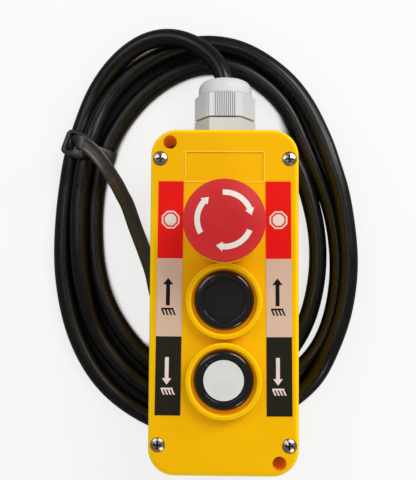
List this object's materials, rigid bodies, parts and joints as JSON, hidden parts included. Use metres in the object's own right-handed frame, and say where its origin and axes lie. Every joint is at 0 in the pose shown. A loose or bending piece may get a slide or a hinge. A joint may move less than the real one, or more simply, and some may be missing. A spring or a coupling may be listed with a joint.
{
  "type": "pendant control station",
  "caption": "Hand-held hoist pendant: emergency stop head, raise and lower buttons, cable gland and a coiled cable.",
  "frame": {"origin": "middle of the pendant's own box, without the free cable", "axes": "+X across the housing to the right, +Y along it towards the cable gland, +Z out of the buttons' face"},
  "size_m": [0.1738, 0.2401, 0.093],
  "materials": {
    "yellow_housing": "moulded, satin",
    "red_head": "satin",
    "white_marks": "satin",
    "black_ring": "glossy",
    "black_cap": "matte",
    "white_cap": "satin",
    "legend_red": "printed film",
    "legend_beige": "printed film",
    "legend_black": "printed film",
    "gasket_rubber": "matte",
    "screw_nickel": "nickel plated",
    "insert_brass": "knurled",
    "spring_steel": "drawn wire",
    "stem_grey": "moulded",
    "contact_red": "moulded",
    "contact_green": "moulded",
    "gland_grey": "moulded, satin",
    "cable_black": "semi-gloss",
    "core_white": "insulation",
    "tie_black": "glossy"
  },
  "bodies": {
    "housing": {"front_cover": "yellow_housing", "rear_case": "yellow_housing", "housing_gasket": "gasket_rubber", "cover_screws": "screw_nickel", "thread_inserts": "insert_brass", "stop_legends": "legend_red", "raise_legends": "legend_beige", "lower_legends": "legend_black", "estop_ring": "black_ring", "estop_ring_seal": "gasket_rubber", "estop_lock_nut": "black_cap", "estop_spring": "spring_steel", "estop_contact_block": "contact_red", "raise_ring": "black_ring", "raise_ring_seal": "gasket_rubber", "raise_lock_nut": "black_cap", "raise_spring": "spring_steel", "raise_contact_block": "contact_green", "lower_ring": "black_ring", "lower_ring_seal": "gasket_rubber", "lower_lock_nut": "black_cap", "lower_spring": "spring_steel", "lower_contact_block": "contact_green", "terminal_screws": "screw_nickel", "gland_body": "gland_grey", "gland_washer": "gasket_rubber", "gland_seal": "gasket_rubber", "gland_dome_nut": "gland_grey", "gland_lock_nut": "gland_grey", "cable_sheath_end": "cable_black", "cable_cores": "core_white", "cable_lead": "cable_black", "cable_coil": "cable_black", "cable_tail": "cable_black", "cable_tie": "tie_black", "cable_end_cores": "core_white"},
    "estop_plunger": {"estop_stem": "stem_grey", "estop_contact_tip": "white_marks"},
    "estop_head": {"estop_mushroom": "red_head", "estop_arrows": "white_marks"},
    "raise_button": {"raise_cap": "black_cap", "raise_contact_tip": "white_marks"},
    "lower_button": {"lower_cap": "black_cap", "lower_cap_disc": "white_cap", "lower_contact_tip": "white_marks"}
  },
  "joints": [
    {"name": "estop_press", "type": "slide", "parent": "housing", "child": "estop_plunger", "axis": [0, 0, -1], "range_m": [0, 0.004], "stiffness_N_per_m": 900, "deforming": ["estop_spring"]},
    {"name": "estop_twist", "type": "hinge", "parent": "estop_plunger", "child": "estop_head", "pos_m": [0, 0.0219, 0.02], "axis": [0, 0, 1], "range_deg": [-45, 0], "stiffness_Nm_per_rad": 0.05},
    {"name": "raise_press", "type": "slide", "parent": "housing", "child": "raise_button", "axis": [0, 0, -1], "range_m": [0, 0.004], "stiffness_N_per_m": 600, "deforming": ["raise_spring"]},
    {"name": "lower_press", "type": "slide", "parent": "housing", "child": "lower_button", "axis": [0, 0, -1], "range_m": [0, 0.004], "stiffness_N_per_m": 600, "deforming": ["lower_spring"]}
  ]
}
